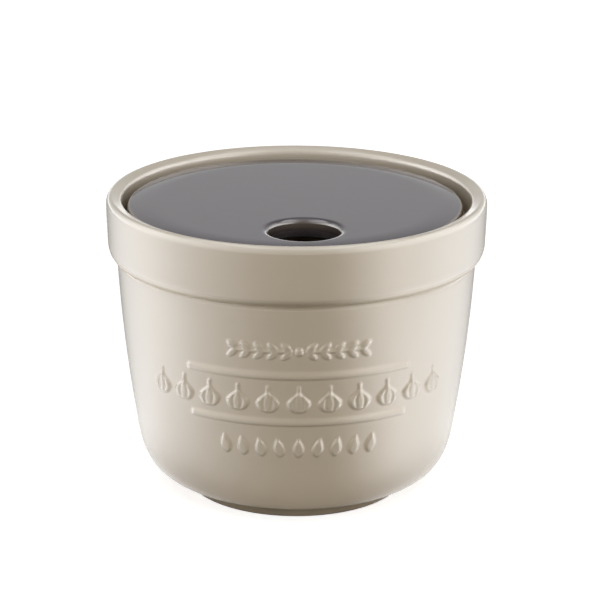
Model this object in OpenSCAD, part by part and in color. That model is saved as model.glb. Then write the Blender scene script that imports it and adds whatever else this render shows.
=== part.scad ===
// Garlic keeper: a glazed stoneware jar with a lid that drops into its rim.
// The origin is on the table under the middle of the jar, +Z is up, and the
// decorated front faces -Y. All sizes are in millimetres.

/* [Jar outline] */
// Outer diameter of the rim band, the widest part of the jar
rim_d = 120; // [112:1:130]
// Height from the table to the top of the rim
jar_h = 95.8; // [90:0.2:110]
// Height of the rim band, from its top down to the crease
band_h = 19.5; // [17:0.5:24]
// How far the band stands out beyond the wall at the crease
band_step = 2.5; // [1.5:0.1:4]
// How much narrower the band's radius is above its lower rounding than at the top
band_draft = 0.35; // [0:0.05:0.8]
// Height of the rounding that carries the band back to the wall
band_round_h = 6; // [3:0.1:8]
// Diameter of the wall where the belly starts to curve in
belly_d = 101; // [94:0.2:106]
// Height above the table at which the belly starts to curve in
belly_h = 18.7; // [16:0.1:22]
// How far the wall swells beyond a straight line, half way up
wall_swell = 0.9; // [0:0.1:2]
// How far the belly curve runs on in the wall's direction
belly_pull = 10.9; // [8:0.1:12]
// How far the belly curve runs level, out from the foot
foot_pull = 7.7; // [6:0.1:9]

/* [Rim] */
// Width of the rounding on the outer edge of the rim
rim_outer_w = 1.5; // [1:0.1:2]
// Height of the rounding on the outer edge of the rim
rim_outer_h = 2.2; // [1.5:0.1:3]
// How steeply the top of the rim falls towards the lid, in degrees
rim_slope = 20; // [10:1:30]
// Radius on the inner edge of the rim
rim_inner_round = 0.8; // [0.5:0.1:1.2]

/* [Foot] */
// Outer diameter of the foot ring
foot_d = 70.5; // [66:0.5:76]
// Height of the foot ring, up to where the belly leaves it
foot_h = 4.9; // [4:0.1:6]
// Width of the foot ring
foot_w = 5.5; // [4:0.5:8]
// Depth of the hollow inside the foot ring
foot_hollow = 3; // [2:0.1:3.4]
// Radius on the two edges that meet the table
foot_round = 1.2; // [0.5:0.1:1.5]

/* [Inside of the jar] */
// Thickness of the wall at the start of the belly
wall_t = 6; // [5:0.25:8]
// Thickness of the floor over the hollow in the foot
floor_t = 6.4; // [5.5:0.1:9]
// Radius between the inner wall and the floor
floor_round = 12; // [6:1:16]

/* [Lid seat in the rim] */
// Thickness of the rim beside the lid
rim_t = 5; // [4.2:0.1:6]
// Depth of the ledge that carries the lid, below the top of the rim
seat_depth = 9.8; // [9:0.1:13]
// Width of the ledge
seat_w = 5.2; // [4:0.2:6.6]
// Radius on the inner edge of the ledge
seat_round = 1.2; // [0.5:0.1:1.5]

/* [Lid] */
// Gap between the lid's edge and the rim, all round
lid_gap = 2; // [1:0.1:2.6]
// Thickness of the lid
lid_t = 7.2; // [6:0.1:9]
// Width of the soft shoulder round the top of the lid
shoulder_w = 8.5; // [6:0.5:9]
// How far the shoulder falls away at the lid's edge
shoulder_drop = 2.2; // [1.5:0.1:3]
// How late the shoulder falls away, where 2 is a quarter of an ellipse
shoulder_power = 3.5; // [2:0.1:5]
// Radius on the lower edge of the lid
lid_edge_round = 1; // [0.5:0.1:1.4]
// Depth of the hollow under the lid, inside the bare ring that sits on the ledge
lid_hollow = 1; // [0.5:0.1:1.5]
// Width of the bare ring
lid_ring_w = 6.6; // [6:0.1:8]
// How far the lid is turned in its seat, from the front towards the right
lid_turn = 4.1; // [-45:0.1:45]
// How far the lid lies off the jar's axis, towards the right
lid_shift = -0.5; // [-0.8:0.1:0.8]

/* [Finger hole] */
// Diameter of the hole through the lid
hole_d = 22; // [18:0.5:24]
// Distance from the lid's centre to the hole's centre
hole_offset = 31.9; // [28:0.1:33.5]
// Radius on the upper edge of the hole
hole_top_round = 1.5; // [1:0.1:2.2]
// Radius on the lower edge of the hole
hole_foot_round = 0.9; // [0.4:0.1:1.2]

/* [Raised bars on the front] */
// Height of each bar, up the wall
bar_h = 3; // [2:0.1:4]
// How far the bars stand out from the wall
bar_proud = 0.55; // [0.3:0.05:1]
// Share of the circle that each bar takes, in degrees
bar_span = 76; // [40:1:120]
// Height of the upper bar's lower edge above the table
upper_bar_z = 52.8; // [48:0.1:58]
// Height of the lower bar's lower edge above the table
lower_bar_z = 37.3; // [30:0.1:42]

/* [Hidden] */
$fn = 96;

cream_glaze = [0.86, 0.83, 0.76];
grey_glaze = [0.42, 0.41, 0.43];

// Facets along the curves of the two profiles
round_steps = 6;
curve_steps = 12;
// Extra length by which a cut runs past the face that it leaves
cut_over = 1;

// Jar, from the outside in
rim_r = rim_d / 2;
band_foot_r = rim_r - band_draft;
crease_z = jar_h - band_h;
crease_r = band_foot_r - band_step;
belly_r = belly_d / 2;
foot_r = foot_d / 2;
foot_inner_r = foot_r - foot_w;
floor_z = foot_hollow + floor_t;
pocket_r = rim_r - rim_t;
seat_z = jar_h - seat_depth;
seat_inner_r = pocket_r - seat_w;
inside_foot_r = belly_r - wall_t;

// Lid, seated on the ledge
lid_r = pocket_r - lid_gap;
lid_top_z = seat_z + lid_t;
lid_ring_r = lid_r - lid_ring_w;

// Points along an ellipse's arc between two angles
function arc_points(centre, size, from, to, steps) =
    [for (i = [0 : steps]) let (a = from + (to - from) * i / steps)
        [centre[0] + size[0] * cos(a), centre[1] + size[1] * sin(a)]];

// Points along a cubic curve with two end points and two handles
function curve_points(p0, p1, p2, p3, steps) =
    [for (i = [0 : steps]) let (t = i / steps, s = 1 - t)
        s*s*s*p0 + 3*s*s*t*p1 + 3*s*t*t*p2 + t*t*t*p3];

// Radius of the swelling outer wall at a height between the belly and the crease
function wall_r(z) =
    let (t = (z - belly_h) / (crease_z - belly_h))
    belly_r + (crease_r - belly_r) * t + wall_swell * 4 * t * (1 - t);

// Direction in which the wall runs down into the belly
belly_slope = (crease_r - belly_r + 4 * wall_swell) / (crease_z - belly_h);

foot_profile = concat(
    [[0, foot_hollow], [foot_inner_r - foot_hollow, foot_hollow]],
    arc_points([foot_inner_r + foot_round, foot_round], [foot_round, foot_round],
               180, 270, round_steps),
    arc_points([foot_r - foot_round, foot_round], [foot_round, foot_round],
               270, 360, round_steps),
    [[foot_r, foot_h]]);

belly_profile = curve_points(
    [foot_r, foot_h], [foot_r + foot_pull, foot_h],
    [belly_r - belly_pull * belly_slope, belly_h - belly_pull], [belly_r, belly_h],
    curve_steps);

wall_profile = [for (i = [1 : curve_steps])
    let (z = belly_h + (crease_z - belly_h) * i / curve_steps) [wall_r(z), z]];

// The outer rounding turns past the top of the rim until it falls as the slope does
crown_turn = atan(tan(rim_slope) * rim_outer_w / rim_outer_h);
crown_end = [rim_r - rim_outer_w * (1 + sin(crown_turn)),
             jar_h - rim_outer_h * (1 - cos(crown_turn))];
slope_foot_r = pocket_r + rim_inner_round * (1 - sin(rim_slope));
slope_foot_z = crown_end[1] - (crown_end[0] - slope_foot_r) * tan(rim_slope);

band_profile = concat(
    arc_points([crease_r, crease_z + band_round_h], [band_step, band_round_h],
               -75, 0, round_steps),
    arc_points([rim_r - rim_outer_w, jar_h - rim_outer_h], [rim_outer_w, rim_outer_h],
               0, 90, round_steps),
    [crown_end]);

pocket_profile = concat(
    arc_points([pocket_r + rim_inner_round, slope_foot_z - rim_inner_round * cos(rim_slope)],
               [rim_inner_round, rim_inner_round], 90 + rim_slope, 180, round_steps),
    [[pocket_r, seat_z]],
    arc_points([seat_inner_r + seat_round, seat_z - seat_round],
               [seat_round, seat_round], 90, 180, round_steps));

inside_profile = concat(
    arc_points([inside_foot_r - floor_round, floor_z + floor_round],
               [floor_round, floor_round], 0, -90, curve_steps),
    [[0, floor_z]]);

// A raised bar round the front: square below, and sloped back to the wall above
module front_bar(z) {
    root_r = min(wall_r(z), wall_r(z + bar_h)) - cut_over;
    lip = bar_h / 5;
    rotate([0, 0, -90 - bar_span / 2])
        rotate_extrude(angle = bar_span, $fn = 240)
            polygon([
                [root_r, z],
                [wall_r(z), z],
                [wall_r(z) + bar_proud, z + lip],
                [wall_r(z + bar_h / 2) + bar_proud, z + bar_h / 2],
                [wall_r(z + bar_h), z + bar_h],
                [root_r, z + bar_h]]);
}

// Stoneware jar: foot ring, belly, wall, rim band, and the ledge for the lid
module jar() {
    color(cream_glaze)
        union() {
            rotate_extrude()
                polygon(concat(foot_profile, belly_profile, wall_profile,
                               band_profile, pocket_profile, inside_profile));
            front_bar(upper_bar_z);
            front_bar(lower_bar_z);
        }
}

lid_profile = concat(
    [[0, seat_z + lid_hollow], [lid_ring_r - lid_hollow, seat_z + lid_hollow],
     [lid_ring_r, seat_z]],
    arc_points([lid_r - lid_edge_round, seat_z + lid_edge_round],
               [lid_edge_round, lid_edge_round], -90, 0, round_steps),
    [for (i = [0 : curve_steps]) let (a = 90 - 90 * i / curve_steps)
        [lid_r - shoulder_w * (1 - pow(sin(a), 2 / shoulder_power)),
         lid_top_z - shoulder_drop * (1 - cos(a))]],
    [[0, lid_top_z]]);

// Cutter for the finger hole: a straight bore that flares at both faces
module finger_hole_cutter() {
    hole_r = hole_d / 2;
    under_z = seat_z + lid_hollow;
    rotate_extrude()
        polygon(concat(
            [[0, under_z - cut_over], [hole_r + hole_foot_round, under_z - cut_over]],
            arc_points([hole_r + hole_foot_round, under_z + hole_foot_round],
                       [hole_foot_round, hole_foot_round], 270, 180, round_steps),
            arc_points([hole_r + hole_top_round, lid_top_z - hole_top_round],
                       [hole_top_round, hole_top_round], 180, 90, round_steps),
            [[hole_r + hole_top_round, lid_top_z + cut_over],
             [0, lid_top_z + cut_over]]));
}

// Stoneware lid: a disc with a soft shoulder, a bare ring below and a finger hole
module lid() {
    color(grey_glaze)
        translate([lid_shift, 0, 0])
            rotate([0, 0, lid_turn])
                difference() {
                    rotate_extrude()
                        polygon(lid_profile);
                    translate([0, -hole_offset, 0])
                        finger_hole_cutter();
                }
}

jar();
lid();
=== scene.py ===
"""A garlic keeper: a cream stoneware jar and the grey lid that drops into its rim.

The origin is on the table under the middle of the jar, +Z is up and the decorated front faces -Y.
Lengths are in millimetres and angles in degrees, but a name that ends in _M is in metres. The nodes
of the materials and the lamps work in metres too. Meshes are made in millimetres and brought to
metres at the end.
"""

import math

import bmesh
import bpy
from mathutils import Matrix, Vector


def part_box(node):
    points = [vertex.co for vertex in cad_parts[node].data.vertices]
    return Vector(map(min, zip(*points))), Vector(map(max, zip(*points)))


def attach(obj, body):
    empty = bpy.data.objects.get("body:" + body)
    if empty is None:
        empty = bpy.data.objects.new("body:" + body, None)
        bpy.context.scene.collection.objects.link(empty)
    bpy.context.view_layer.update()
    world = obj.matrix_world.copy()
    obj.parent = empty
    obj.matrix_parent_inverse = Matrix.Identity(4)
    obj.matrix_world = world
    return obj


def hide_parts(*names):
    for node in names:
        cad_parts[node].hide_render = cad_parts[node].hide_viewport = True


MM = 0.001

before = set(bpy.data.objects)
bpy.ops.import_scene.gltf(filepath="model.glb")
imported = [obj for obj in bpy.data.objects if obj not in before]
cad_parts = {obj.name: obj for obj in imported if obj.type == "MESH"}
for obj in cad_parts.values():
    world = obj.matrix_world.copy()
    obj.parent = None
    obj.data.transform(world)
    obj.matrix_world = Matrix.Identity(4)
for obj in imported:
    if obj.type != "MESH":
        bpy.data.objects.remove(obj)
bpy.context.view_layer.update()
JAR_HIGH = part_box("jar")[1]
LID_LOW, LID_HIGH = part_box("lid")

# Jar, from the outside in
RIM_R = JAR_HIGH.x / MM
JAR_H = JAR_HIGH.z / MM
BAND_H = 19.3
BAND_STEP = 2.8
BAND_DRAFT = 0.35
BAND_ROUND_H = 5.1
BAND_ROUND_START = -78
RIM_OUTER_W = 1.7
RIM_OUTER_H = 2.4
RIM_SLOPE = 20.0
RIM_INNER_ROUND = 1.4
RIM_T = 5.0
CREASE_TURN = 1.6
CREASE_EASE = 0.6
CREASE_CUT = 0.5
BELLY_R = 50.5
BELLY_H = 18.7
BELLY_PULL = 10.9
WALL_SWELL = 0.85
WALL_T = 6.0
FOOT_R = 35.25
FOOT_H = 4.4
FOOT_W = 5.5
FOOT_PULL = 7.7
FOOT_HOLLOW = 3.0
FOOT_ROUND = 1.2
FOOT_FILLET = 0.4
BELLY_START = 0.6
FLOOR_Z = 9.4
FLOOR_ROUND = 12.0
SEAT_Z = LID_LOW.z / MM
SEAT_W = 5.2
SEAT_ROUND = 1.2
SEAT_FILLET = 0.8

BAND_FOOT_R = RIM_R - BAND_DRAFT
CREASE_Z = JAR_H - BAND_H
CREASE_R = BAND_FOOT_R - BAND_STEP
POCKET_R = RIM_R - RIM_T
SEAT_INNER_R = POCKET_R - SEAT_W

# Points and handles of small curves, each as (outwards, up) from the corner that it rounds or cuts
HOLLOW_CURVE = ((-5.0, 0.0), (-1.5, 0.0), (-0.3, -0.4))
CREASE_LOW = ((-CREASE_CUT, -CREASE_EASE), (-CREASE_CUT, -0.15))
CREASE_HIGH = ((-CREASE_CUT, -0.15), (-CREASE_CUT, 0.05), (-0.1, 0.05), (0.3, 0.08))
BAND_LOW_HANDLE = (0.1, 9.0)
BAND_HIGH_HANDLE = (0.0, -7.0)

# Where plain surfaces have their points: radii under the foot and on the floor, depths in the
# pocket, shares of the inner wall, and the spacing up the outer wall
UNDERSIDE_RADII = (0, 4, 12, 19)
FLOOR_RADII = (22, 12, 4, 0)
POCKET_DEPTHS = (4.0, 6.5)
INNER_WALL_SHARES = (0.25, 0.5, 0.75)
PLAIN_ROW = 1.5

# Spinning the jar's outline: fine wedges across the decorated front, coarse ones round the back
WEDGES = 8
RELIEF_SWEEP = 116.0
FRONT_STEPS = 32
BACK_STEPS = 16

# Lid
LID_R = (LID_HIGH.x - LID_LOW.x) / 2 / MM
LID_X = (LID_HIGH.x + LID_LOW.x) / 2 / MM
LID_TOP = LID_HIGH.z / MM
SHOULDER_W = 9.5
SHOULDER_DROP = 0.6
LID_RIM_W = 0.7
LID_RIM_H = 1.3
LID_RIM_START = 86
LID_EDGE_ROUND = 1.0
LID_SIDE_ROW = 1.0
LID_HOLLOW = 1.0
LID_HOLLOW_TURN = 1.0
LID_RING_W = 6.6
LID_RING_ROW = 0.3
LID_TURN = 4.1
HOLE_R = 11.0
HOLE_OFFSET = 31.9
HOLE_FLARE_W = 2.6
HOLE_FLARE_DROP = 1.5
HOLE_FLARE_POWER = 2.4
HOLE_FOOT_ROUND = 0.9
BORE_ROW_LOW = 2.2
BORE_ROW_HIGH = 0.6

# Rings of the lid. Over the top they crowd together at the hole and at the edge, and they begin
# beyond the steep inner share of the flare. The last ones of the bore lie at shares of the flare,
# which is 1 at the bore itself, and those of the underside at shares of the way in to the hole
LID_SEGMENTS = 192
LID_RINGS = 64
RING_CROWDING = 0.09
STEEP_SHARE = 0.15
FLARE_SHARES = (1.0, 0.985, 0.96, 0.93, 0.89)
UNDERSIDE_SHARES = (0.3, 0.6, 0.9, 1.0)

# Raised work on the front, where a fade is the length of a soft edge
RELIEF_ROW = 0.42
RELIEF_LOW = 24.0
RELIEF_HIGH = 67.0
RELIEF_H = 0.7

# Bars, whose rise, crest and fall are shares of their height
BAR_H = 3.0
BAR_HALF_SPAN = 38.0
BAR_RISE = 0.22
BAR_CREST = 0.42
BAR_FALL = 0.58
BAR_END_FADE = 1.6
UPPER_BAR_Z = 52.8
LOWER_BAR_Z = 37.3

# Garlic bulbs, whose two grooves lie at a share of the half width and cut away a share of the
# height
BULB_COUNT = 11
BULB_PITCH = 9.4
BULB_Z = 41.8
BULB_H = 9.3
BULB_HALF = 3.9
BULB_BELLY = 3.3
BULB_TAPER = 3.9
BULB_EDGE_FADE = 1.1
BULB_FOOT_FADE = 0.7
BULB_TOP_FADE = 0.8
NECK_HALF = 0.75
NECK_LIP = 0.2
NECK_LIP_Y = 7.8
NECK_LIP_FADE = 1.5
GROOVE_PLACE = 0.36
GROOVE_DEPTH = 0.5
GROOVE_HALF = 0.5
GROOVE_EDGE_FADE = 0.4
GROOVE_TOP = 6.4
GROOVE_TOP_FADE = 1.5
GROOVE_FOOT = 0.5
GROOVE_FOOT_FADE = 0.8

# Garland, whose leaves are fullest before their middle when the power is under 1
LEAF_PAIRS = 5
LEAF_PITCH = 4.2
LEAF_FIRST = 2.0
LEAF_L = 4.9
LEAF_HALF = 1.15
LEAF_POWER = 0.8
LEAF_EDGE_FADE = 0.65
LEAF_TILT = 36.0
LEAF_Z = 62.1
RIB_DEPTH = 0.4
RIB_HALF = 0.35
RIB_FADE = 0.3
BERRY_R = 1.5
BERRY_FADE = 0.7
STEM_H = 0.8
STEM_HALF = 0.55
STEM_EDGE_FADE = 0.4
STEM_START = 1.8
STEM_START_FADE = 0.5
STEM_END_FADE = 0.8
GARLAND_HALF_H = 4.0

# Cloves, whose power works as the leaves' does, and whose end fades are shares of their height
CLOVE_COUNT = 9
CLOVE_PITCH = 5.6
CLOVE_Z = 26.6
CLOVE_H = 7.2
CLOVE_HALF = 1.95
CLOVE_POWER = 0.72
CLOVE_LEAN = 1.2
CLOVE_EDGE_FADE = 0.9
CLOVE_FOOT_FADE = 0.1
CLOVE_TIP_FADE = 0.12

# How far the thin glaze reaches down from the top of the rim, and further on the inner side as
# painted light on the pocket's wall; in and down from the lid's edge; and out from the lid's hole,
# where there is less of it, and down the bore as painted light that fades with depth
THIN_LOW = 2.6
THIN_AND_LIGHT_LOW_INSIDE = 7.5
THIN_FADE = 2.2
EDGE_THIN_IN = 1.4
EDGE_THIN_FADE = 0.9
EDGE_THIN_LOW = 3.6
EDGE_THIN_LOW_FADE = 1.2
HOLE_THIN = 0.6
HOLE_THIN_OUT = 0.8
HOLE_LIGHT_LOW = 5.5
HOLE_LIGHT_LOW_FADE = 4.0

# Painted shade, with some pooled glaze in the crease: a darker colour round a height just over the
# crease, over the foot, in the ledge's corner, under the raised work and down the bore
POOL_SHADE_MIDDLE = 0.8
POOL_SHADE_BELOW = 1.8
POOL_SHADE_ABOVE = 2.4
FOOT_SHADE_H = 0.9
SEAT_SHADE = 7.5
SHADE_START = 1.5
SHADE_FADE = 2.5
RELIEF_SHADE = 0.6
BORE_SHADE_OUT = 0.5
BORE_SHADE_FADE = 0.3
BORE_SHADE_DEPTH = 2.5

# What counts as the inside of the jar: this width of the rim, and the floor with a little slack
INNER_EDGE_W = 2.0
SLACK = 0.1


# ---------------------------------------------------------------- outlines


def arc(centre, size, start, end, steps):
    """Points along an ellipse's arc between two angles in degrees."""
    angles = [math.radians(start + (end - start) * i / steps) for i in range(steps + 1)]
    return [(centre[0] + size[0] * math.cos(a), centre[1] + size[1] * math.sin(a)) for a in angles]


def curve(p0, p1, p2, p3, steps):
    """Points along a cubic curve with two end points and two handles."""
    points = []
    for i in range(steps + 1):
        t = i / steps
        s = 1 - t
        weights = (s * s * s, 3 * s * s * t, 3 * s * t * t, t * t * t)
        points.append(tuple(
            sum(w * p[k] for w, p in zip(weights, (p0, p1, p2, p3))) for k in (0, 1)))
    return points


def from_corner(corner, *moves):
    """Points that lie by (outwards, up) from a corner."""
    return [(corner[0] + out, corner[1] + up) for out, up in moves]


def smooth(t):
    """Soft step from 0 to 1 as t goes from 0 to 1."""
    t = min(max(t, 0.0), 1.0)
    return t * t * (3 - 2 * t)


def rise(value, fade):
    """Soft step from 0 to 1 as a value goes from 0 to the fade's length."""
    return smooth(value / fade)


def wall_r(z):
    """Radius of the swelling outer wall at a height between the belly and the crease."""
    t = (z - BELLY_H) / (CREASE_Z - BELLY_H)
    return BELLY_R + (CREASE_R - BELLY_R) * t + WALL_SWELL * 4 * t * (1 - t)


def wall_rows(low, high, row):
    """Points up the outer wall from one height to another, about a row apart."""
    steps = max(1, round((high - low) / row))
    heights = [low + (high - low) * i / steps for i in range(1, steps + 1)]
    return [(wall_r(z), z) for z in heights]


def foot_outline():
    """The foot ring from the middle of the jar's underside out to the belly."""
    inner_r = FOOT_R - FOOT_W
    middle = [(r, FOOT_HOLLOW) for r in UNDERSIDE_RADII]
    hollow = curve(
        *from_corner((inner_r, FOOT_HOLLOW), *HOLLOW_CURVE), (inner_r, FOOT_ROUND), steps=7)
    corner = (FOOT_ROUND, FOOT_ROUND)
    fillet_centre = (FOOT_R + FOOT_FILLET, FOOT_H - FOOT_FILLET)
    ring_outline = (
        arc((inner_r + FOOT_ROUND, FOOT_ROUND), corner, 180, 270, steps=6)[1:]
        + arc((FOOT_R - FOOT_ROUND, FOOT_ROUND), corner, 270, 360, steps=6)
        + arc(fillet_centre, (FOOT_FILLET, FOOT_FILLET), 180, 90, steps=4)
    )
    return middle + hollow + ring_outline


def wall_outline():
    """The outer side from the foot up the belly and the wall to the crease under the band."""
    slope = (CREASE_R - BELLY_R + 4 * WALL_SWELL) / (CREASE_Z - BELLY_H)
    belly = curve(
        (FOOT_R + BELLY_START, FOOT_H), (FOOT_R + FOOT_PULL, FOOT_H),
        (BELLY_R - BELLY_PULL * slope, BELLY_H - BELLY_PULL), (BELLY_R, BELLY_H), steps=22)
    low = CREASE_Z - CREASE_TURN
    corner = (CREASE_R, CREASE_Z)
    crease = curve(
        (wall_r(low), low), (wall_r(low + CREASE_EASE), low + CREASE_EASE),
        *from_corner(corner, *CREASE_LOW), steps=6)[1:]
    crease += curve(*from_corner(corner, *CREASE_HIGH), steps=4)[1:]
    return (
        belly[1:]
        + wall_rows(BELLY_H, RELIEF_LOW, PLAIN_ROW)
        + wall_rows(RELIEF_LOW, RELIEF_HIGH, RELIEF_ROW)
        + wall_rows(RELIEF_HIGH, low, PLAIN_ROW)
        + crease
    )


def rim_outline():
    """The band from the crease up, the sloping top of the rim and the pocket down to the ledge."""
    slope = math.radians(RIM_SLOPE)
    turn = math.degrees(math.atan(math.tan(slope) * RIM_OUTER_W / RIM_OUTER_H))
    foot = (BAND_FOOT_R, CREASE_Z + BAND_ROUND_H)
    outer_centre = (RIM_R - RIM_OUTER_W, JAR_H - RIM_OUTER_H)
    outer_size = (RIM_OUTER_W, RIM_OUTER_H)
    band = (
        arc((CREASE_R, foot[1]), (BAND_STEP, BAND_ROUND_H), BAND_ROUND_START, 0, steps=16)
        + curve(
            foot, *from_corner((BAND_FOOT_R, CREASE_Z), BAND_LOW_HANDLE),
            *from_corner((RIM_R, JAR_H), BAND_HIGH_HANDLE), (RIM_R, outer_centre[1]),
            steps=6)[1:-1]
        + arc(outer_centre, outer_size, 0, 90, steps=12)
        + arc(outer_centre, outer_size, 90, 90 + turn, steps=3)[1:]
    )
    top_r, top_z = band[-1]
    foot_r = POCKET_R + RIM_INNER_ROUND * (1 - math.sin(slope))
    foot_z = top_z - (top_r - foot_r) * math.tan(slope)
    inner_centre = (POCKET_R + RIM_INNER_ROUND, foot_z - RIM_INNER_ROUND * math.cos(slope))
    fillet_centre = (POCKET_R - SEAT_FILLET, SEAT_Z + SEAT_FILLET)
    ledge_centre = (SEAT_INNER_R + SEAT_ROUND, SEAT_Z - SEAT_ROUND)
    pocket = (
        [((top_r + foot_r) / 2, (top_z + foot_z) / 2)]
        + arc(inner_centre, (RIM_INNER_ROUND, RIM_INNER_ROUND), 90 + RIM_SLOPE, 180, steps=7)
        + [(POCKET_R, JAR_H - depth) for depth in POCKET_DEPTHS]
        + arc(fillet_centre, (SEAT_FILLET, SEAT_FILLET), 0, -90, steps=5)
        + arc(ledge_centre, (SEAT_ROUND, SEAT_ROUND), 90, 180, steps=6)
    )
    return band + pocket


def inside_outline():
    """The inner wall from the ledge down, and the floor."""
    foot_r = BELLY_R - WALL_T
    top_z = SEAT_Z - SEAT_ROUND
    foot_z = FLOOR_Z + FLOOR_ROUND
    wall = [
        (SEAT_INNER_R + (foot_r - SEAT_INNER_R) * t, top_z + (foot_z - top_z) * t)
        for t in INNER_WALL_SHARES]
    turn = arc((foot_r - FLOOR_ROUND, foot_z), (FLOOR_ROUND, FLOOR_ROUND), 0, -90, steps=12)
    return wall + turn + [(r, FLOOR_Z) for r in FLOOR_RADII]


# ---------------------------------------------------------------- raised work


def raised_bar(u, z, foot):
    """Height of a bar at u along the wall: crisp below, sloping back to the wall above."""
    t = (z - foot) / BAR_H
    half = math.radians(BAR_HALF_SPAN) * wall_r(foot)
    body = rise(t, BAR_RISE) * (1 - rise(t - BAR_CREST, BAR_FALL))
    return body * rise(half - abs(u), BAR_END_FADE)


def bulb_half(y):
    """Half the width of a garlic bulb: round below, drawn in to a neck above."""
    if y < BULB_BELLY:
        return BULB_HALF * math.sqrt(max(1 - ((BULB_BELLY - y) / BULB_BELLY) ** 2, 0))
    neck = NECK_HALF + NECK_LIP * rise(y - NECK_LIP_Y, NECK_LIP_FADE)
    return neck + (BULB_HALF - neck) * (1 - rise(y - BULB_BELLY, BULB_TAPER))


def bulb(x, y):
    """Height of a garlic bulb with its foot at y = 0, its cloves parted by two bowed grooves."""
    if abs(x) > BULB_HALF or not 0 < y < BULB_H:
        return 0.0
    half = bulb_half(y)
    body = rise(half - abs(x), BULB_EDGE_FADE) * rise(y, BULB_FOOT_FADE)
    body *= rise(BULB_H - y, BULB_TOP_FADE)
    groove = rise(GROOVE_HALF - abs(abs(x) - GROOVE_PLACE * half), GROOVE_EDGE_FADE)
    groove *= rise(GROOVE_TOP - y, GROOVE_TOP_FADE) * rise(y - GROOVE_FOOT, GROOVE_FOOT_FADE)
    return max(body - GROOVE_DEPTH * groove, 0.0)


def clove(x, y, lean):
    """Height of a single clove: round at the foot, drawn to a point that leans."""
    t = y / CLOVE_H
    if not 0 < t < 1:
        return 0.0
    half = CLOVE_HALF * math.sin(math.pi * t ** CLOVE_POWER)
    body = rise(half - abs(x - lean * t * t), CLOVE_EDGE_FADE)
    return body * rise(t, CLOVE_FOOT_FADE) * rise(1 - t, CLOVE_TIP_FADE)


def leaf(x, y):
    """Height of a leaf that starts at the origin and points along x, with a midrib pressed in."""
    t = x / LEAF_L
    if not 0 < t < 1:
        return 0.0
    half = LEAF_HALF * math.sin(math.pi * t ** LEAF_POWER)
    rib = RIB_DEPTH * rise(RIB_HALF - abs(y), RIB_FADE)
    return max(rise(half - abs(y), LEAF_EDGE_FADE) - rib, 0.0)


def leaf_row(u, z):
    """Height of the garland over the bars: leaf pairs along a stem, out from a berry."""
    x = abs(u)
    y = abs(z - LEAF_Z)
    reach = LEAF_PAIRS * LEAF_PITCH
    if x > reach + LEAF_L or y > GARLAND_HALF_H:
        return 0.0
    berry = rise(BERRY_R - math.hypot(x, y), BERRY_FADE)
    stem = rise(STEM_HALF - y, STEM_EDGE_FADE) * rise(reach - x, STEM_END_FADE)
    stem *= rise(x - STEM_START, STEM_START_FADE)
    height = max(berry, STEM_H * stem)
    tilt = math.radians(LEAF_TILT)
    for i in range(LEAF_PAIRS):
        dx = x - LEAF_FIRST - LEAF_PITCH * i
        height = max(height, leaf(dx * math.cos(tilt) + y * math.sin(tilt),
                                  y * math.cos(tilt) - dx * math.sin(tilt)))
    return height


def bulb_row(u, z):
    """Height of the row of bulbs between the bars and beyond their ends."""
    nearest = round(u / BULB_PITCH)
    if abs(nearest) > BULB_COUNT // 2:
        return 0.0
    return bulb(u - nearest * BULB_PITCH, z - BULB_Z)


def clove_row(u, z):
    """Height of the row of cloves under the bars; each half leans to its own side."""
    nearest = round(u / CLOVE_PITCH)
    if abs(nearest) > CLOVE_COUNT // 2:
        return 0.0
    lean = CLOVE_LEAN * (nearest > 0) - CLOVE_LEAN * (nearest < 0)
    return clove(u - nearest * CLOVE_PITCH, z - CLOVE_Z, lean)


def front_relief(u, z):
    """Height of all the raised work, 0 to 1, at u along the wall from the front and z up it."""
    return max(
        raised_bar(u, z, UPPER_BAR_Z), raised_bar(u, z, LOWER_BAR_Z),
        leaf_row(u, z), bulb_row(u, z), clove_row(u, z))


def on_relief(r, y, z):
    """Whether a point lies on the front of the outer wall, where the raised work is."""
    return r >= BELLY_R - WALL_T / 2 and RELIEF_LOW < z < RELIEF_HIGH and y <= 0


def raise_relief(bm):
    """Moves the front of the outer wall outwards by the height of the raised work."""
    for vert in bm.verts:
        x, y, z = vert.co
        r = math.hypot(x, y)
        if on_relief(r, y, z):
            push = RELIEF_H * front_relief(r * math.atan2(x, -y), z) / r
            vert.co = (x * (1 + push), y * (1 + push), z)


# ---------------------------------------------------------------- glaze thickness, painted light and shade


def inside_jar(r, z):
    """Whether a point of the jar's surface is on its inside, from the rim's inner edge down."""
    if z > CREASE_Z:
        return r < POCKET_R + INNER_EDGE_W
    if z > BELLY_H:
        return r < wall_r(z) - WALL_T / 2
    return z > FLOOR_Z - SLACK and r < BELLY_R - WALL_T + SLACK


def jar_thin_and_light(x, y, z):
    """How thin the jar's glaze is: it ran down from the rim's top. Further down the inner side the
    lighter colour is painted light on the pocket's wall.
    """
    low = THIN_AND_LIGHT_LOW_INSIDE if inside_jar(math.hypot(x, y), z) else THIN_LOW
    return rise(z - JAR_H + low, THIN_FADE)


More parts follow.
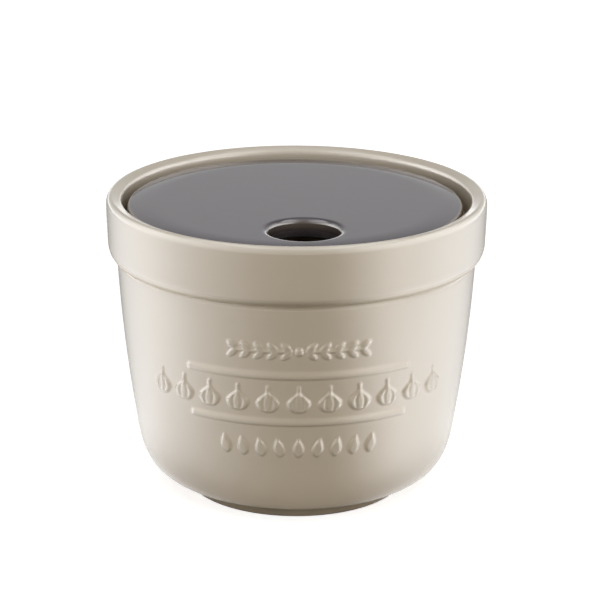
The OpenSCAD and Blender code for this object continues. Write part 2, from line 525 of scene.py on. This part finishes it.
def jar_pooled_and_shade(x, y, z):
    """Painted shade, with some pooled glaze in the crease: how much darker the jar's colour is.

    It is darker in the crease under the band, round the foot, in the ledge's corner and along the
    lower edges of the raised work, where shade falls.
    """
    r = math.hypot(x, y)
    # Painted shade along the lower edges of the raised work
    if on_relief(r, y, z):
        u = wall_r(z) * math.atan2(x, -y)
        step_up = front_relief(u, z + RELIEF_ROW) - front_relief(u, z - RELIEF_ROW / 2)
        return RELIEF_SHADE * smooth(step_up)
    if inside_jar(r, z):
        return (1 - rise(z - SEAT_Z, SEAT_SHADE)) * rise(r - SEAT_INNER_R - SHADE_START, SHADE_FADE)
    under = CREASE_Z + POOL_SHADE_MIDDLE - z
    crease = 1 - (rise(under, POOL_SHADE_BELOW) if under > 0 else rise(-under, POOL_SHADE_ABOVE))
    foot = (1 - rise(abs(z - FOOT_H), FOOT_SHADE_H)) * (1 - rise(r - FOOT_R - SHADE_START, SHADE_FADE))
    return max(crease, foot)


def lid_thin_and_light(x, y, z):
    """How thin the lid's glaze is round its upper edge, and, with less of it, where the hole
    begins; the lighter top of the bore, fading down it, is painted light.
    """
    edge = rise(math.hypot(x, y) - LID_R + EDGE_THIN_IN, EDGE_THIN_FADE)
    edge *= rise(z - LID_TOP + EDGE_THIN_LOW, EDGE_THIN_LOW_FADE)
    # Painted light: the bore is lighter at its top and fades down it
    hole = HOLE_THIN * rise(HOLE_R + HOLE_THIN_OUT - math.hypot(x, y + HOLE_OFFSET), HOLE_THIN_OUT)
    hole *= rise(z - LID_TOP + HOLE_LIGHT_LOW, HOLE_LIGHT_LOW_FADE)
    return max(edge, hole)


def lid_bore_shade(x, y, z):
    """Painted shade: the lid's colour darkens towards the foot of the finger hole's bore."""
    bore = rise(HOLE_R + BORE_SHADE_OUT - math.hypot(x, y + HOLE_OFFSET), BORE_SHADE_FADE)
    return bore * rise(LID_TOP - BORE_SHADE_DEPTH - z, BORE_SHADE_DEPTH)


def lay_glaze(bm, **rules):
    """Notes at every point of a piece its thin glaze with painted light and its pooled glaze with
    painted shade, for its material.
    """
    for name, rule in rules.items():
        layer = bm.verts.layers.float.new(name)
        for vert in bm.verts:
            vert[layer] = rule(*vert.co)


# ---------------------------------------------------------------- meshes

# Points closer than the first are one point, and edges shorter than the second are taken out
MERGE = 0.002
SPECK = 0.0005


def finish_mesh(bm, name):
    """Cleans a mesh made in millimetres and returns it as a smooth object in metres."""
    bmesh.ops.remove_doubles(bm, verts=bm.verts, dist=MERGE)
    bmesh.ops.dissolve_degenerate(bm, edges=bm.edges, dist=SPECK)
    bmesh.ops.recalc_face_normals(bm, faces=bm.faces)
    bmesh.ops.scale(bm, verts=bm.verts, vec=(MM, MM, MM))
    for face in bm.faces:
        face.smooth = True
    mesh = bpy.data.meshes.new(name)
    bm.to_mesh(mesh)
    bm.free()
    made = bpy.data.objects.new(name, mesh)
    bpy.context.scene.collection.objects.link(made)
    return made


def spin_wedges(bm, outline, start, sweep, steps):
    """Spins an outline of (radius, height) points into a wedge and lays turned copies in a row.

    The wedges fill a sweep that starts at an angle from -Y. This is much quicker than a long spin.
    """
    wedge = bmesh.new()
    verts = [wedge.verts.new((0, -r, z)) for r, z in outline]
    edges = [wedge.edges.new(pair) for pair in zip(verts, verts[1:])]
    angle = math.radians(sweep / WEDGES)
    bmesh.ops.spin(
        wedge, geom=verts + edges, axis=(0, 0, 1), cent=(0, 0, 0), angle=angle, steps=steps)
    mesh = bpy.data.meshes.new("wedge")
    wedge.to_mesh(mesh)
    wedge.free()
    for i in range(WEDGES):
        before = len(bm.verts)
        bm.from_mesh(mesh)
        bm.verts.ensure_lookup_table()
        turn = Matrix.Rotation(math.radians(start) + angle * i, 3, "Z")
        bmesh.ops.rotate(bm, verts=bm.verts[before:], cent=(0, 0, 0), matrix=turn)
    bpy.data.meshes.remove(mesh)


def make_jar():
    """The jar: one outline spun finely across the decorated front and coarsely round the back."""
    bm = bmesh.new()
    outline = foot_outline() + wall_outline() + rim_outline() + inside_outline()
    half = RELIEF_SWEEP / 2
    spin_wedges(bm, outline, -half, RELIEF_SWEEP, FRONT_STEPS)
    spin_wedges(bm, outline, half, 360 - RELIEF_SWEEP, BACK_STEPS)
    raise_relief(bm)
    # The glaze notes: thin glaze with painted light, and painted shade with some pooled glaze
    lay_glaze(bm, thin_glaze=jar_thin_and_light, pooled_glaze=jar_pooled_and_shade)
    return finish_mesh(bm, "glazed_jar")


def flare_drop(share):
    """How far the flare has fallen, from a share of 0 at its outer edge to 1 at the bore."""
    return HOLE_FLARE_DROP * (1 - math.sqrt(1 - share ** HOLE_FLARE_POWER))


def lid_top(x, y):
    """Height of the lid's upper side: flat, soft at the shoulder and drawn down into the hole."""
    shoulder = max((math.hypot(x, y) - LID_R + SHOULDER_W) / (SHOULDER_W - LID_RIM_W), 0)
    flare = min(max(1 - (math.hypot(x, y + HOLE_OFFSET) - HOLE_R) / HOLE_FLARE_W, 0), 1)
    return LID_TOP - SHOULDER_DROP * shoulder * shoulder - flare_drop(flare)


def ring(bm, radius, height, offset=0.0):
    """A circle's edges and points, round the lid's axis or round one moved towards the front."""
    place = Matrix.Translation((0, -offset, height))
    made = bmesh.ops.create_circle(bm, segments=LID_SEGMENTS, radius=radius, matrix=place)
    return {edge for vert in made["verts"] for edge in vert.link_edges}, made["verts"]


def lid_top_rings(bm):
    """Rings over the top of the lid, whose centres move from the hole's axis to the lid's."""
    near_hole = HOLE_R + STEEP_SHARE * HOLE_FLARE_W
    near_edge = LID_R - LID_RIM_W
    rings = []
    for i in range(LID_RINGS + 1):
        t = i / LID_RINGS
        t -= RING_CROWDING * math.sin(2 * math.pi * t)
        edges, verts = ring(bm, near_hole + (near_edge - near_hole) * t, 0, HOLE_OFFSET * (1 - t))
        for vert in verts:
            vert.co.z = lid_top(vert.co.x, vert.co.y)
        rings.append(edges)
    return rings


def lid_edge_rings(bm):
    """Rings down the lid's edge, across the bare ring and into the shallow hollow below."""
    low = SEAT_Z + LID_EDGE_ROUND
    under = SEAT_Z + LID_HOLLOW
    side_top = LID_TOP - SHOULDER_DROP - LID_RIM_H
    ring_r = LID_R - LID_RING_W
    turn_r = ring_r - LID_HOLLOW_TURN / 2
    side = arc((LID_R - LID_RIM_W, side_top), (LID_RIM_W, LID_RIM_H), LID_RIM_START, 0, steps=9)
    side += [(LID_R, side_top - LID_SIDE_ROW), (LID_R, low + LID_SIDE_ROW)]
    side += arc((LID_R - LID_EDGE_ROUND, low), (LID_EDGE_ROUND, LID_EDGE_ROUND), 0, -90, steps=6)
    side += [(ring_r + LID_RING_ROW, SEAT_Z)]
    side += curve(
        (ring_r, SEAT_Z), (turn_r, SEAT_Z), (turn_r, under), (ring_r - LID_HOLLOW_TURN, under),
        steps=6)
    return [ring(bm, r, z)[0] for r, z in side]


def lid_hole_rings(bm):
    """Rings across the hollow to the hole, and up its bore to the flare."""
    under = SEAT_Z + LID_HOLLOW
    start_r = LID_R - LID_RING_W - LID_HOLLOW_TURN
    foot_r = HOLE_R + HOLE_FOOT_ROUND
    rings = [
        ring(bm, start_r * (1 - t) + foot_r * t, under, HOLE_OFFSET * t)[0]
        for t in UNDERSIDE_SHARES]
    foot_size = (HOLE_FOOT_ROUND, HOLE_FOOT_ROUND)
    bore = arc((foot_r, under + HOLE_FOOT_ROUND), foot_size, 270, 180, steps=5)[1:]
    bore += [(HOLE_R, under + BORE_ROW_LOW), (HOLE_R, LID_TOP - HOLE_FLARE_DROP - BORE_ROW_HIGH)]
    bore += [(HOLE_R + HOLE_FLARE_W * (1 - t), LID_TOP - flare_drop(t)) for t in FLARE_SHARES]
    return rings + [ring(bm, r, z, HOLE_OFFSET)[0] for r, z in bore]


def make_lid():
    """The lid, bridged ring by ring, turned and shifted in its seat."""
    bm = bmesh.new()
    rings = lid_top_rings(bm) + lid_edge_rings(bm) + lid_hole_rings(bm)
    for one, other in zip(rings, rings[1:] + rings[:1]):
        bmesh.ops.bridge_loops(bm, edges=list(one | other))
    # The glaze notes: thin glaze at the edge, painted light at the top of the bore, painted shade
    # at its foot
    lay_glaze(bm, thin_glaze=lid_thin_and_light, pooled_glaze=lid_bore_shade)
    turn = Matrix.Rotation(math.radians(LID_TURN), 3, "Z")
    bmesh.ops.rotate(bm, verts=bm.verts, cent=(0, 0, 0), matrix=turn)
    bmesh.ops.translate(bm, verts=bm.verts, vec=(LID_X, 0, 0))
    return finish_mesh(bm, "glazed_lid")


# ---------------------------------------------------------------- finishes


class Nodes:
    """A node tree with short ways to add nodes and link them."""

    def __init__(self, tree):
        self.tree = tree

    def fill(self, node, inputs):
        """Gives a node's sockets their values, or links them to other nodes' outputs."""
        for key, value in inputs.items():
            if isinstance(value, bpy.types.NodeSocket):
                self.tree.links.new(value, node.inputs[key])
            else:
                node.inputs[key].default_value = value

    def add(self, kind, inputs=None, **settings):
        """Adds a node with its settings and its inputs."""
        node = self.tree.nodes.new(kind)
        for key, value in settings.items():
            setattr(node, key, value)
        self.fill(node, inputs or {})
        return node

    def math(self, operation, first, second=0.0):
        """The outcome of one operation on two values or sockets."""
        return self.add("ShaderNodeMath", {0: first, 1: second}, operation=operation).outputs[0]

    def mix(self, factor, first, second):
        """One colour laid over another."""
        node = self.add("ShaderNodeMix", {0: factor, 6: first, 7: second}, data_type="RGBA")
        return node.outputs[2]

    def between(self, factor, low, high):
        """A value that goes from low to high with a mask."""
        return self.add("ShaderNodeMix", {0: factor, 2: low, 3: high}).outputs[0]

    def span(self, value, low, high):
        """A mask that goes softly from 0 to 1 as a value goes from low to high."""
        node = self.add(
            "ShaderNodeMapRange", {0: value, 1: low, 2: high}, interpolation_type="SMOOTHSTEP")
        return node.outputs[0]


def clear_nodes(owner):
    """Switches a material or a world to nodes and returns its emptied tree."""
    owner.use_nodes = True
    owner.node_tree.nodes.clear()
    return Nodes(owner.node_tree)


def node_group(name, inputs, outputs):
    """An empty shader group with named value sockets, and its nodes."""
    tree = bpy.data.node_groups.new(name, "ShaderNodeTree")
    for title, start in inputs.items():
        socket = tree.interface.new_socket(title, in_out="INPUT", socket_type="NodeSocketFloat")
        socket.default_value = start
    for title in outputs:
        tree.interface.new_socket(title, in_out="OUTPUT", socket_type="NodeSocketFloat")
    nodes = Nodes(tree)
    return nodes, nodes.add("NodeGroupInput"), nodes.add("NodeGroupOutput")


# Where the groups' noise and the bend of the surface turn into masks, and how much the glaze line
# wavers and blurs
DRIFT_SPAN = (0.3, 0.7)
RIDGE_SPAN = (0.51, 0.60)
HOLLOW_SPAN = (0.49, 0.40)
WAVER_SCALE = 120.0
WAVER_M = 0.0004
BARE_EDGE_M = 0.00015


def glaze_flow_group():
    """Slow drift in a glaze's tone, and the faint ripple that the kiln leaves on it."""
    nodes, given, result = node_group(
        "glaze_flow", {"Drift Size": 0.03, "Ripple Size": 0.004}, ("Drift", "Ripple"))
    place = nodes.add("ShaderNodeTexCoord").outputs["Object"]
    drift_scale = nodes.math("DIVIDE", 1.0, given.outputs["Drift Size"])
    ripple_scale = nodes.math("DIVIDE", 1.0, given.outputs["Ripple Size"])
    drift = nodes.add("ShaderNodeTexNoise", {
        "Vector": place, "Scale": drift_scale, "Detail": 3.0, "Roughness": 0.5})
    ripple = nodes.add("ShaderNodeTexNoise", {
        "Vector": place, "Scale": ripple_scale, "Detail": 1.0})
    nodes.fill(result, {
        "Drift": nodes.span(drift.outputs[0], *DRIFT_SPAN), "Ripple": ripple.outputs[0]})
    return nodes.tree


def glaze_edges_group():
    """Where a glaze runs thin over ridges, and painted shade in hollows.

    Both come from the bend of the surface and from what the piece notes at each of its points,
    which also hold painted light and painted shade.
    """
    nodes, given, result = node_group("glaze_edges", {"Shape": 0.5}, ("Thin And Light", "Shade And Pool"))
    bend = nodes.add("ShaderNodeNewGeometry").outputs["Pointiness"]
    ridge = nodes.math("MULTIPLY", nodes.span(bend, *RIDGE_SPAN), given.outputs["Shape"])
    # The hollow mask is painted shade in concave corners
    hollow = nodes.math("MULTIPLY", nodes.span(bend, *HOLLOW_SPAN), given.outputs["Shape"])
    thin = nodes.add("ShaderNodeAttribute", attribute_name="thin_glaze").outputs["Fac"]
    pooled = nodes.add("ShaderNodeAttribute", attribute_name="pooled_glaze").outputs["Fac"]
    nodes.fill(result, {
        "Thin And Light": nodes.math("MAXIMUM", ridge, thin),
        "Shade And Pool": nodes.math("MAXIMUM", hollow, pooled)})
    return nodes.tree


def bare_clay_group():
    """Unglazed clay below a height, with a wavering edge, and its gritty grain."""
    nodes, given, result = node_group(
        "bare_clay", {"Glaze Line": 0.001, "Grit Size": 0.0006}, ("Bare", "Grit"))
    place = nodes.add("ShaderNodeTexCoord").outputs["Object"]
    height = nodes.add("ShaderNodeSeparateXYZ", {0: place}).outputs["Z"]
    waver = nodes.add("ShaderNodeTexNoise", {"Vector": place, "Scale": WAVER_SCALE}).outputs[0]
    line = nodes.math("ADD", given.outputs["Glaze Line"], nodes.math("MULTIPLY", waver, WAVER_M))
    below = nodes.math("SUBTRACT", line, height)
    grit_scale = nodes.math("DIVIDE", 1.0, given.outputs["Grit Size"])
    grit = nodes.add("ShaderNodeTexNoise", {"Vector": place, "Scale": grit_scale, "Detail": 4.0})
    nodes.fill(result, {"Bare": nodes.span(below, 0.0, BARE_EDGE_M), "Grit": grit.outputs[0]})
    return nodes.tree


GROUPS = {}


def use_group(nodes, maker, **inputs):
    """Places a shared group in a material with that material's own values."""
    if maker not in GROUPS:
        GROUPS[maker] = maker()
    node = nodes.add("ShaderNodeGroup", node_tree=GROUPS[maker])
    nodes.fill(node, {key.replace("_", " ").title(): value for key, value in inputs.items()})
    return node


# Both glazes: how much the bend of the surface counts, and how far the drift at its strongest mixes
# in a darker tone and dulls the gloss
DRIFT_SIZE_M = 0.034
RIPPLE_SIZE_M = 0.0045
SHAPE_SHARE = 0.5
DRIFT_SHARE = 0.5
DRIFT_DARK = 0.93
DRIFT_DULL = 1.3
POOL_AND_SHADE_ROUGHNESS = 0.5
CLAY_ROUGHNESS = 0.75
RIPPLE_SHARE = 0.25
BUMP_STRENGTH = 0.12
BUMP_M = 0.0004
GLAZE_IOR = 1.52

# How far above what it stood on in the kiln each piece's glaze ends
JAR_GLAZE_LINE_M = 0.0008
LID_GLAZE_LINE_M = 0.0004


def glaze_material(name, colour, thin, pooled, clay, roughness, glaze_line):
    """A glossy stoneware glaze over clay that stays bare where the piece stood in the kiln, with
    its thin colour partly painted light and its pooled colour mostly painted shade.
    """
    material = bpy.data.materials.new(name)
    nodes = clear_nodes(material)
    flow = use_group(nodes, glaze_flow_group, drift_size=DRIFT_SIZE_M, ripple_size=RIPPLE_SIZE_M)
    edges = use_group(nodes, glaze_edges_group, shape=SHAPE_SHARE)
    bare = use_group(nodes, bare_clay_group, glaze_line=glaze_line)
    darker = tuple(c * DRIFT_DARK for c in colour[:3]) + (1,)
    drifted = nodes.mix(nodes.math("MULTIPLY", flow.outputs["Drift"], DRIFT_SHARE), colour, darker)
    thinned_and_lit = nodes.mix(edges.outputs["Thin And Light"], drifted, thin)
    # Painted shade, with some pooled glaze in the crease, darkens the colour here
    shaded = nodes.mix(edges.outputs["Shade And Pool"], thinned_and_lit, pooled)
    clayed = nodes.mix(bare.outputs["Bare"], shaded, clay)
    gloss = nodes.between(flow.outputs["Drift"], roughness, roughness * DRIFT_DULL)
    gloss = nodes.between(edges.outputs["Shade And Pool"], gloss, POOL_AND_SHADE_ROUGHNESS)
    rough = nodes.between(bare.outputs["Bare"], 0.0, CLAY_ROUGHNESS)
    rough = nodes.math("MAXIMUM", rough, gloss)
    grit = nodes.math("MULTIPLY", bare.outputs["Grit"], bare.outputs["Bare"])
    height = nodes.math("ADD", nodes.math("MULTIPLY", flow.outputs["Ripple"], RIPPLE_SHARE), grit)
    bump = nodes.add(
        "ShaderNodeBump", {"Height": height, "Strength": BUMP_STRENGTH, "Distance": BUMP_M})
    shader = nodes.add("ShaderNodeBsdfPrincipled", {
        "Base Color": clayed, "Roughness": rough, "Normal": bump.outputs[0], "IOR": GLAZE_IOR})
    nodes.add("ShaderNodeOutputMaterial", {"Surface": shader.outputs[0]})
    return material


# ---------------------------------------------------------------- studio

# The glow that gloss mirrors at both sides, with a share of it on the right. It rises between these
# angles from the front, and falls again behind
SIDE_GLOW = 8.2
RIGHT_SHARE = 0.86
RISE_RIGHT = (11, 63)
RISE_LEFT = (-3, 105)

# The table: its tone, the glow that it shows to the eye, where its glow at the sides falls off
# behind and what is left of it near the jar, and where it is bright again at the back
TABLE_TONE = 0.8
TABLE_SHOWN = 0.8
TABLE_RADIUS = 3000.0
TABLE_FALL = (88, 163)
TABLE_FALL_SHIFT_M = 0.06
TABLE_NEAR_M = (0.045, 0.085)
TABLE_NEAR_SHARE = 0.55
TABLE_BEHIND = (150, 172)

# The room: the light that it gives, and what gloss mirrors of it from the skyline up. Spans are
# heights on a sphere, from 0 at the skyline to 1 overhead, and the last one is out from its middle
ROOM_LIGHT = 0.18
ROOM_FALL = (92, 164)
SKYLINE = 2.2
SKYLINE_TO_HORIZON = (0.07, 0.13)
HORIZON = 1.0
HORIZON_TO_LOW = (0.18, 0.24)
ROOM_LOW = 0.85
LOW_TO_HIGH = (0.32, 0.56)
ROOM_HIGH = 0.5
SIDES_END = (0.87, 0.6)
OVERHEAD_GLOW = 4.0
OVERHEAD_MIDDLE = 1.2
OVERHEAD_START = (0.77, 0.85)
OVERHEAD_ACROSS = (0.06, 0.3)


def bearing(nodes, place, shift=0.0):
    """The angle from the front, positive to the right, round a centre shifted to the front."""
    apart = nodes.add("ShaderNodeSeparateXYZ", {0: place})
    ahead = nodes.math("SUBTRACT", nodes.math("MULTIPLY", apart.outputs["Y"], -1.0), shift)
    return nodes.math("ARCTAN2", apart.outputs["X"], ahead)


def turned_past(nodes, angle, degrees):
    """A mask that goes from 0 to 1 as an angle goes from the first to the second of two bounds."""
    return nodes.span(angle, math.radians(degrees[0]), math.radians(degrees[1]))


def side_mask(nodes, place, fall, shift=0.0):
    """A mask that rises with the angle from the front and falls again behind.

    On the right it rises more quickly, but not as far.
    """
    angle = bearing(nodes, place)
    left = turned_past(nodes, nodes.math("MULTIPLY", angle, -1.0), RISE_LEFT)
    right = nodes.math("MULTIPLY", turned_past(nodes, angle, RISE_RIGHT), RIGHT_SHARE)
    both = nodes.math("MAXIMUM", left, right)
    away = nodes.math("ABSOLUTE", bearing(nodes, place, shift))
    return nodes.math("MULTIPLY", both, turned_past(nodes, away, (fall[1], fall[0])))


def ray_masks(nodes):
    """Two masks: what the eye sees, straight or through something clear, and what gloss mirrors."""
    path = nodes.add("ShaderNodeLightPath").outputs
    seen = nodes.math("MAXIMUM", path["Is Camera Ray"], path["Is Transmission Ray"])
    return seen, path["Is Glossy Ray"]


def make_floor():
    """A pale floor: white to the eye but for the soft shadow, and bright at the sides in gloss."""
    bm = bmesh.new()
    bmesh.ops.create_circle(bm, cap_ends=True, segments=64, radius=TABLE_RADIUS)
    floor = finish_mesh(bm, "floor")
    material = bpy.data.materials.new("pale_floor")
    material.cycles.emission_sampling = "NONE"
    nodes = clear_nodes(material)
    place = nodes.add("ShaderNodeTexCoord").outputs["Object"]
    reach = nodes.add("ShaderNodeVectorMath", {0: place}, operation="LENGTH").outputs["Value"]
    near = nodes.between(nodes.span(reach, *TABLE_NEAR_M), TABLE_NEAR_SHARE * SIDE_GLOW, SIDE_GLOW)
    sides = nodes.math("MULTIPLY", side_mask(nodes, place, TABLE_FALL, TABLE_FALL_SHIFT_M), near)
    behind = turned_past(nodes, nodes.math("ABSOLUTE", bearing(nodes, place)), TABLE_BEHIND)
    glow = nodes.math("ADD", sides, nodes.math("MULTIPLY", behind, 1 - ROOM_LIGHT))
    seen, mirrored = ray_masks(nodes)
    strength = nodes.math(
        "ADD", nodes.math("MULTIPLY", seen, TABLE_SHOWN), nodes.math("MULTIPLY", mirrored, glow))
    lit = nodes.add("ShaderNodeBsdfDiffuse", {"Color": (TABLE_TONE, TABLE_TONE, TABLE_TONE, 1)})
    white = nodes.add("ShaderNodeEmission", {"Color": (1, 1, 1, 1), "Strength": strength})
    both = nodes.add("ShaderNodeAddShader", {0: lit.outputs[0], 1: white.outputs[0]})
    nodes.add("ShaderNodeOutputMaterial", {"Surface": both.outputs[0]})
    floor.data.materials.append(material)


def make_world():
    """Soft surroundings that show white to the eye.

    In gloss they are bright along the skyline, pale above it and dim higher up, with a strong glow
    at the sides and overhead that is weaker over the middle.
    """
    world = bpy.data.worlds.new("studio")
    bpy.context.scene.world = world
    nodes = clear_nodes(world)
    heading = nodes.add("ShaderNodeTexCoord").outputs["Generated"]
    apart = nodes.add("ShaderNodeSeparateXYZ", {0: heading})
    height = apart.outputs["Z"]
    pale = nodes.between(nodes.span(height, *SKYLINE_TO_HORIZON), SKYLINE, HORIZON)
    pale = nodes.between(nodes.span(height, *HORIZON_TO_LOW), pale, ROOM_LOW)
    pale = nodes.between(nodes.span(height, *LOW_TO_HIGH), pale, ROOM_HIGH)
    sides = side_mask(nodes, heading, ROOM_FALL)
    sides = nodes.math("MULTIPLY", sides, nodes.span(height, *SIDES_END))
    glow = nodes.math("MULTIPLY", sides, SIDE_GLOW)
    across = nodes.span(nodes.math("ABSOLUTE", apart.outputs["X"]), *OVERHEAD_ACROSS)
    overhead = nodes.math(
        "MULTIPLY", nodes.span(height, *OVERHEAD_START),
        nodes.between(across, OVERHEAD_MIDDLE, OVERHEAD_GLOW))
    in_gloss = nodes.math("ADD", nodes.math("ADD", pale, glow), overhead)
    seen, mirrored = ray_masks(nodes)
    strength = nodes.between(seen, nodes.between(mirrored, ROOM_LIGHT, in_gloss), 1.0)
    light = nodes.add("ShaderNodeBackground", {"Color": (1, 1, 1, 1), "Strength": strength})
    nodes.add("ShaderNodeOutputWorld", {"Surface": light.outputs[0]})


# Softboxes: place and size in metres, and power in watts
LAMP_AIM_M = (0, 0, 0.05)
LAMPS = {
    "top": ((0, 0, 1.3), 1.2, 4.0),
    "front": ((0.12, -0.96, 0.82), 0.8, 4.7),
}


def make_lamps():
    """A large softbox overhead and a smaller one high in front, each turned to the keeper."""
    for name, (place, size, watts) in LAMPS.items():
        data = bpy.data.lights.new(name, "AREA")
        data.shape = "RECTANGLE"
        data.size = data.size_y = size
        data.energy = watts
        lamp = bpy.data.objects.new(name, data)
        bpy.context.scene.collection.objects.link(lamp)
        lamp.location = place
        aim = Vector(LAMP_AIM_M) - Vector(place)
        lamp.rotation_euler = aim.to_track_quat("-Z", "Y").to_euler()
        lamp.visible_camera = False
        lamp.visible_glossy = False


# Where the camera stands, as seen from the point that it is aimed at
CAMERA_DISTANCE_M = 0.83
CAMERA_ELEVATION = 18.133
CAMERA_AZIMUTH = -1.1
CAMERA_ROLL = 0.292
CAMERA_AIM_M = (0.00122, 0.0, 0.060212)
CAMERA_LENS = 155.98
CAMERA_SENSOR = 36


def make_camera():
    """The photograph's view: a long lens a little above the rim."""
    camera = bpy.data.objects.new("camera", bpy.data.cameras.new("camera"))
    bpy.context.scene.collection.objects.link(camera)
    camera.data.lens = CAMERA_LENS
    camera.data.sensor_width = CAMERA_SENSOR
    elevation = math.radians(CAMERA_ELEVATION)
    back = Vector((0, -math.cos(elevation), math.sin(elevation)))
    turn = Matrix.Rotation(math.radians(CAMERA_AZIMUTH), 4, "Z")
    tilt = Matrix.Rotation(math.radians(90 - CAMERA_ELEVATION), 4, "X")
    roll = Matrix.Rotation(math.radians(CAMERA_ROLL), 4, "Z")
    place = Matrix.Translation(Vector(CAMERA_AIM_M) + back * CAMERA_DISTANCE_M)
    camera.matrix_world = turn @ place @ tilt @ roll
    bpy.context.scene.camera = camera


# ---------------------------------------------------------------- the keeper

make_camera()

# The thin colours are partly painted light and the pooled colours are painted shade, with some
# pooled glaze in the jar's crease
cream = glaze_material(
    "cream_glaze", colour=(0.60, 0.50, 0.37, 1), thin=(0.76, 0.68, 0.56, 1),
    pooled=(0.24, 0.19, 0.12, 1), clay=(0.50, 0.40, 0.29, 1), roughness=0.13,
    glaze_line=JAR_GLAZE_LINE_M)
grey = glaze_material(
    "grey_glaze", colour=(0.062, 0.046, 0.060, 1), thin=(0.21, 0.17, 0.125, 1),
    pooled=(0.015, 0.013, 0.013, 1), clay=(0.42, 0.34, 0.26, 1), roughness=0.07,
    glaze_line=LID_LOW.z + LID_GLAZE_LINE_M)

jar = make_jar()
jar.data.materials.append(cream)
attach(jar, "jar")
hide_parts("jar")

lid = make_lid()
lid.data.materials.append(grey)
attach(lid, "lid")
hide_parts("lid")

make_floor()
make_world()
make_lamps()
bpy.context.scene.view_settings.view_transform = "Standard"
